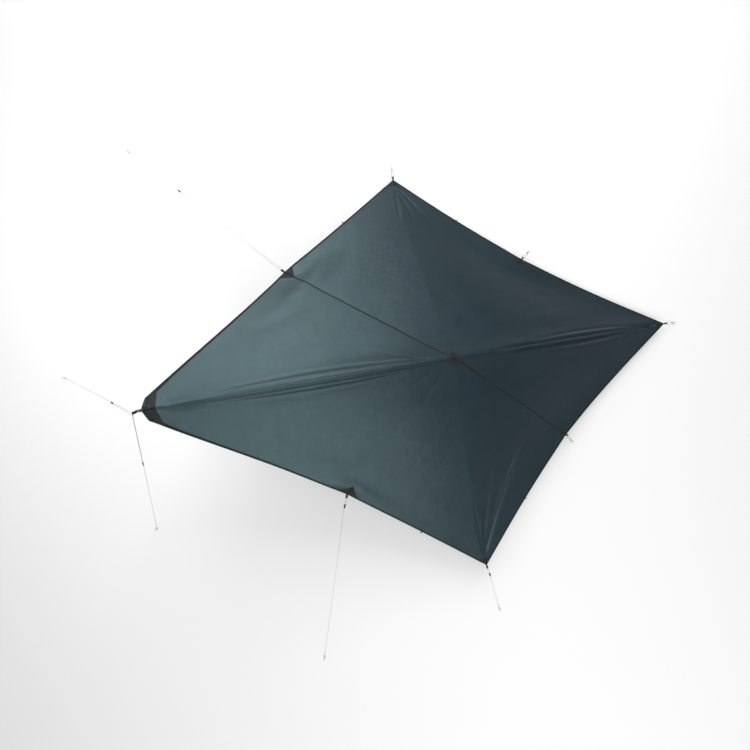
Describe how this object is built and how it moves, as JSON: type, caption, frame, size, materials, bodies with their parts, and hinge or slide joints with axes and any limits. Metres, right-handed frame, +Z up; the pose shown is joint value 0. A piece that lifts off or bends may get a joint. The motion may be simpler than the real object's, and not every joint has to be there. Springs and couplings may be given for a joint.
{
  "type": "tarp shelter",
  "caption": "Square camping tarp pitched with one corner raised on a telescopic pole, held out by guy lines with sliding tensioners and by ground pegs.",
  "frame": {"origin": "on the ground, at the middle of the pole's foot", "axes": "+X along the ridge from the high corner to the low corner, +Z up, +Y to the side with the straight guy line"},
  "size_m": [6.1404, 5.3464, 1.65],
  "materials": {
    "canopy_fabric": "ripstop silicone-coated nylon, slight sheen",
    "patch_fabric": "heavier reinforcing fabric, matt",
    "hem_fabric": "folded and stitched edge",
    "webbing": "flat woven webbing",
    "cord": "thin braided guy line",
    "peg_loop_cord": "thin braided cord",
    "peg_alloy": "drawn wire",
    "black_plastic": "moulded, fine texture",
    "tube_alloy": "anodised tube",
    "rubber_foot": "moulded rubber"
  },
  "bodies": {
    "canopy": {"canopy_panel_front": "canopy_fabric", "canopy_panel_rear": "canopy_fabric", "centre_loop": "webbing", "centre_patch": "patch_fabric", "centre_seam": "hem_fabric", "corner_patch_front": "patch_fabric", "corner_patch_left": "patch_fabric", "corner_patch_rear": "patch_fabric", "corner_patch_right": "patch_fabric", "edge_tabs": "webbing", "guyline_front_a": "cord", "guyline_front_b": "cord", "guyline_front_left": "cord", "guyline_front_right": "cord", "guyline_return_front_a": "cord", "guyline_return_front_b": "cord", "guyline_return_front_left": "cord", "guyline_return_front_right": "cord", "guyline_return_right": "cord", "guyline_right": "cord", "hem_front": "hem_fabric", "hem_rear": "hem_fabric", "peg_loop_left": "peg_loop_cord", "peg_loop_rear": "peg_loop_cord", "peg_loop_rear_left": "peg_loop_cord", "peg_loop_rear_right": "peg_loop_cord", "seam_tabs": "webbing", "side_patch_front_left": "patch_fabric", "side_patch_front_right": "patch_fabric", "side_patch_rear_left": "patch_fabric", "side_patch_rear_right": "patch_fabric", "webbing_loop_front": "webbing", "webbing_loop_front_left": "webbing", "webbing_loop_front_right": "webbing", "webbing_loop_left": "webbing", "webbing_loop_rear": "webbing", "webbing_loop_rear_left": "webbing", "webbing_loop_rear_right": "webbing", "webbing_loop_right": "webbing"},
    "tensioner_front_left": {"tensioner_front_left": "black_plastic"},
    "tensioner_front_right": {"tensioner_front_right": "black_plastic"},
    "tensioner_front_a": {"tensioner_front_a": "black_plastic"},
    "tensioner_front_b": {"tensioner_front_b": "black_plastic"},
    "tensioner_right": {"tensioner_right": "black_plastic"},
    "peg_guy_front_left": {"peg_guy_front_left": "peg_alloy"},
    "peg_guy_front_right": {"peg_guy_front_right": "peg_alloy"},
    "peg_guy_front_a": {"peg_guy_front_a": "peg_alloy"},
    "peg_guy_front_b": {"peg_guy_front_b": "peg_alloy"},
    "peg_guy_right": {"peg_guy_right": "peg_alloy"},
    "peg_left": {"peg_left": "peg_alloy"},
    "peg_rear_left": {"peg_rear_left": "peg_alloy"},
    "peg_rear": {"peg_rear": "peg_alloy"},
    "peg_rear_right": {"peg_rear_right": "peg_alloy"},
    "pole_upper": {"pole_tip": "black_plastic", "pole_upper_tube": "tube_alloy"},
    "pole_lower": {"pole_lower_tube": "tube_alloy", "pole_foot": "rubber_foot", "pole_clamp_collar": "black_plastic"},
    "pole_lever": {"pole_clamp_lever": "black_plastic"}
  },
  "joints": [
    {"name": "slide_tensioner_front_left", "type": "slide", "parent": "canopy", "child": "tensioner_front_left", "axis": [0.6326, -0.7197, 0.2861], "range_m": [0, 1.378], "deforming": ["guyline_return_front_left"]},
    {"name": "slide_tensioner_front_right", "type": "slide", "parent": "canopy", "child": "tensioner_front_right", "axis": [0.2843, 0.8824, 0.3749], "range_m": [0, 0.048], "deforming": ["guyline_return_front_right"]},
    {"name": "slide_tensioner_front_a", "type": "slide", "parent": "canopy", "child": "tensioner_front_a", "axis": [0.7113, -0.2107, 0.6706], "range_m": [0, 0.408], "deforming": ["guyline_return_front_a"]},
    {"name": "slide_tensioner_front_b", "type": "slide", "parent": "canopy", "child": "tensioner_front_b", "axis": [0.4394, 0.5539, 0.7072], "range_m": [0, 0.628], "deforming": ["guyline_return_front_b"]},
    {"name": "slide_tensioner_right", "type": "slide", "parent": "canopy", "child": "tensioner_right", "axis": [-0.1469, 0.9268, 0.3457], "range_m": [0, 0.058], "deforming": ["guyline_return_right"]},
    {"name": "pull_peg_guy_front_left", "type": "slide", "parent": "canopy", "child": "peg_guy_front_left", "axis": [-0.3052, 0.2924, 0.9063], "range_m": [0, 0.16]},
    {"name": "pull_peg_guy_front_right", "type": "slide", "parent": "canopy", "child": "peg_guy_front_right", "axis": [-0.215, -0.3638, 0.9063], "range_m": [0, 0.16]},
    {"name": "pull_peg_guy_front_a", "type": "slide", "parent": "canopy", "child": "peg_guy_front_a", "axis": [-0.4194, 0.0524, 0.9063], "range_m": [0, 0.16]},
    {"name": "pull_peg_guy_front_b", "type": "slide", "parent": "canopy", "child": "peg_guy_front_b", "axis": [-0.3943, -0.1521, 0.9063], "range_m": [0, 0.16]},
    {"name": "pull_peg_guy_right", "type": "slide", "parent": "canopy", "child": "peg_guy_right", "axis": [0.0325, -0.4214, 0.9063], "range_m": [0, 0.16]},
    {"name": "pull_peg_left", "type": "slide", "parent": "canopy", "child": "peg_left", "axis": [-0.0283, 0.4217, 0.9063], "range_m": [0, 0.16]},
    {"name": "pull_peg_rear_left", "type": "slide", "parent": "canopy", "child": "peg_rear_left", "axis": [0.3188, 0.2774, 0.9063], "range_m": [0, 0.16]},
    {"name": "pull_peg_rear", "type": "slide", "parent": "canopy", "child": "peg_rear", "axis": [0.4226, -0.0014, 0.9063], "range_m": [0, 0.16]},
    {"name": "pull_peg_rear_right", "type": "slide", "parent": "canopy", "child": "peg_rear_right", "axis": [0.3231, -0.2724, 0.9063], "range_m": [0, 0.16]},
    {"name": "pole_lean", "type": "hinge", "parent": "canopy", "child": "pole_upper", "pos_m": [0, 0, 1.5006], "axis": [0, 1, 0], "range_deg": [-15, 15]},
    {"name": "pole_telescope", "type": "slide", "parent": "pole_upper", "child": "pole_lower", "axis": [0, 0, 1], "range_m": [0, 0.6]},
    {"name": "clamp_lever", "type": "hinge", "parent": "pole_lower", "child": "pole_lever", "pos_m": [-0.0191, 0, 0.798], "axis": [0, 1, 0], "range_deg": [0, 110]}
  ]
}
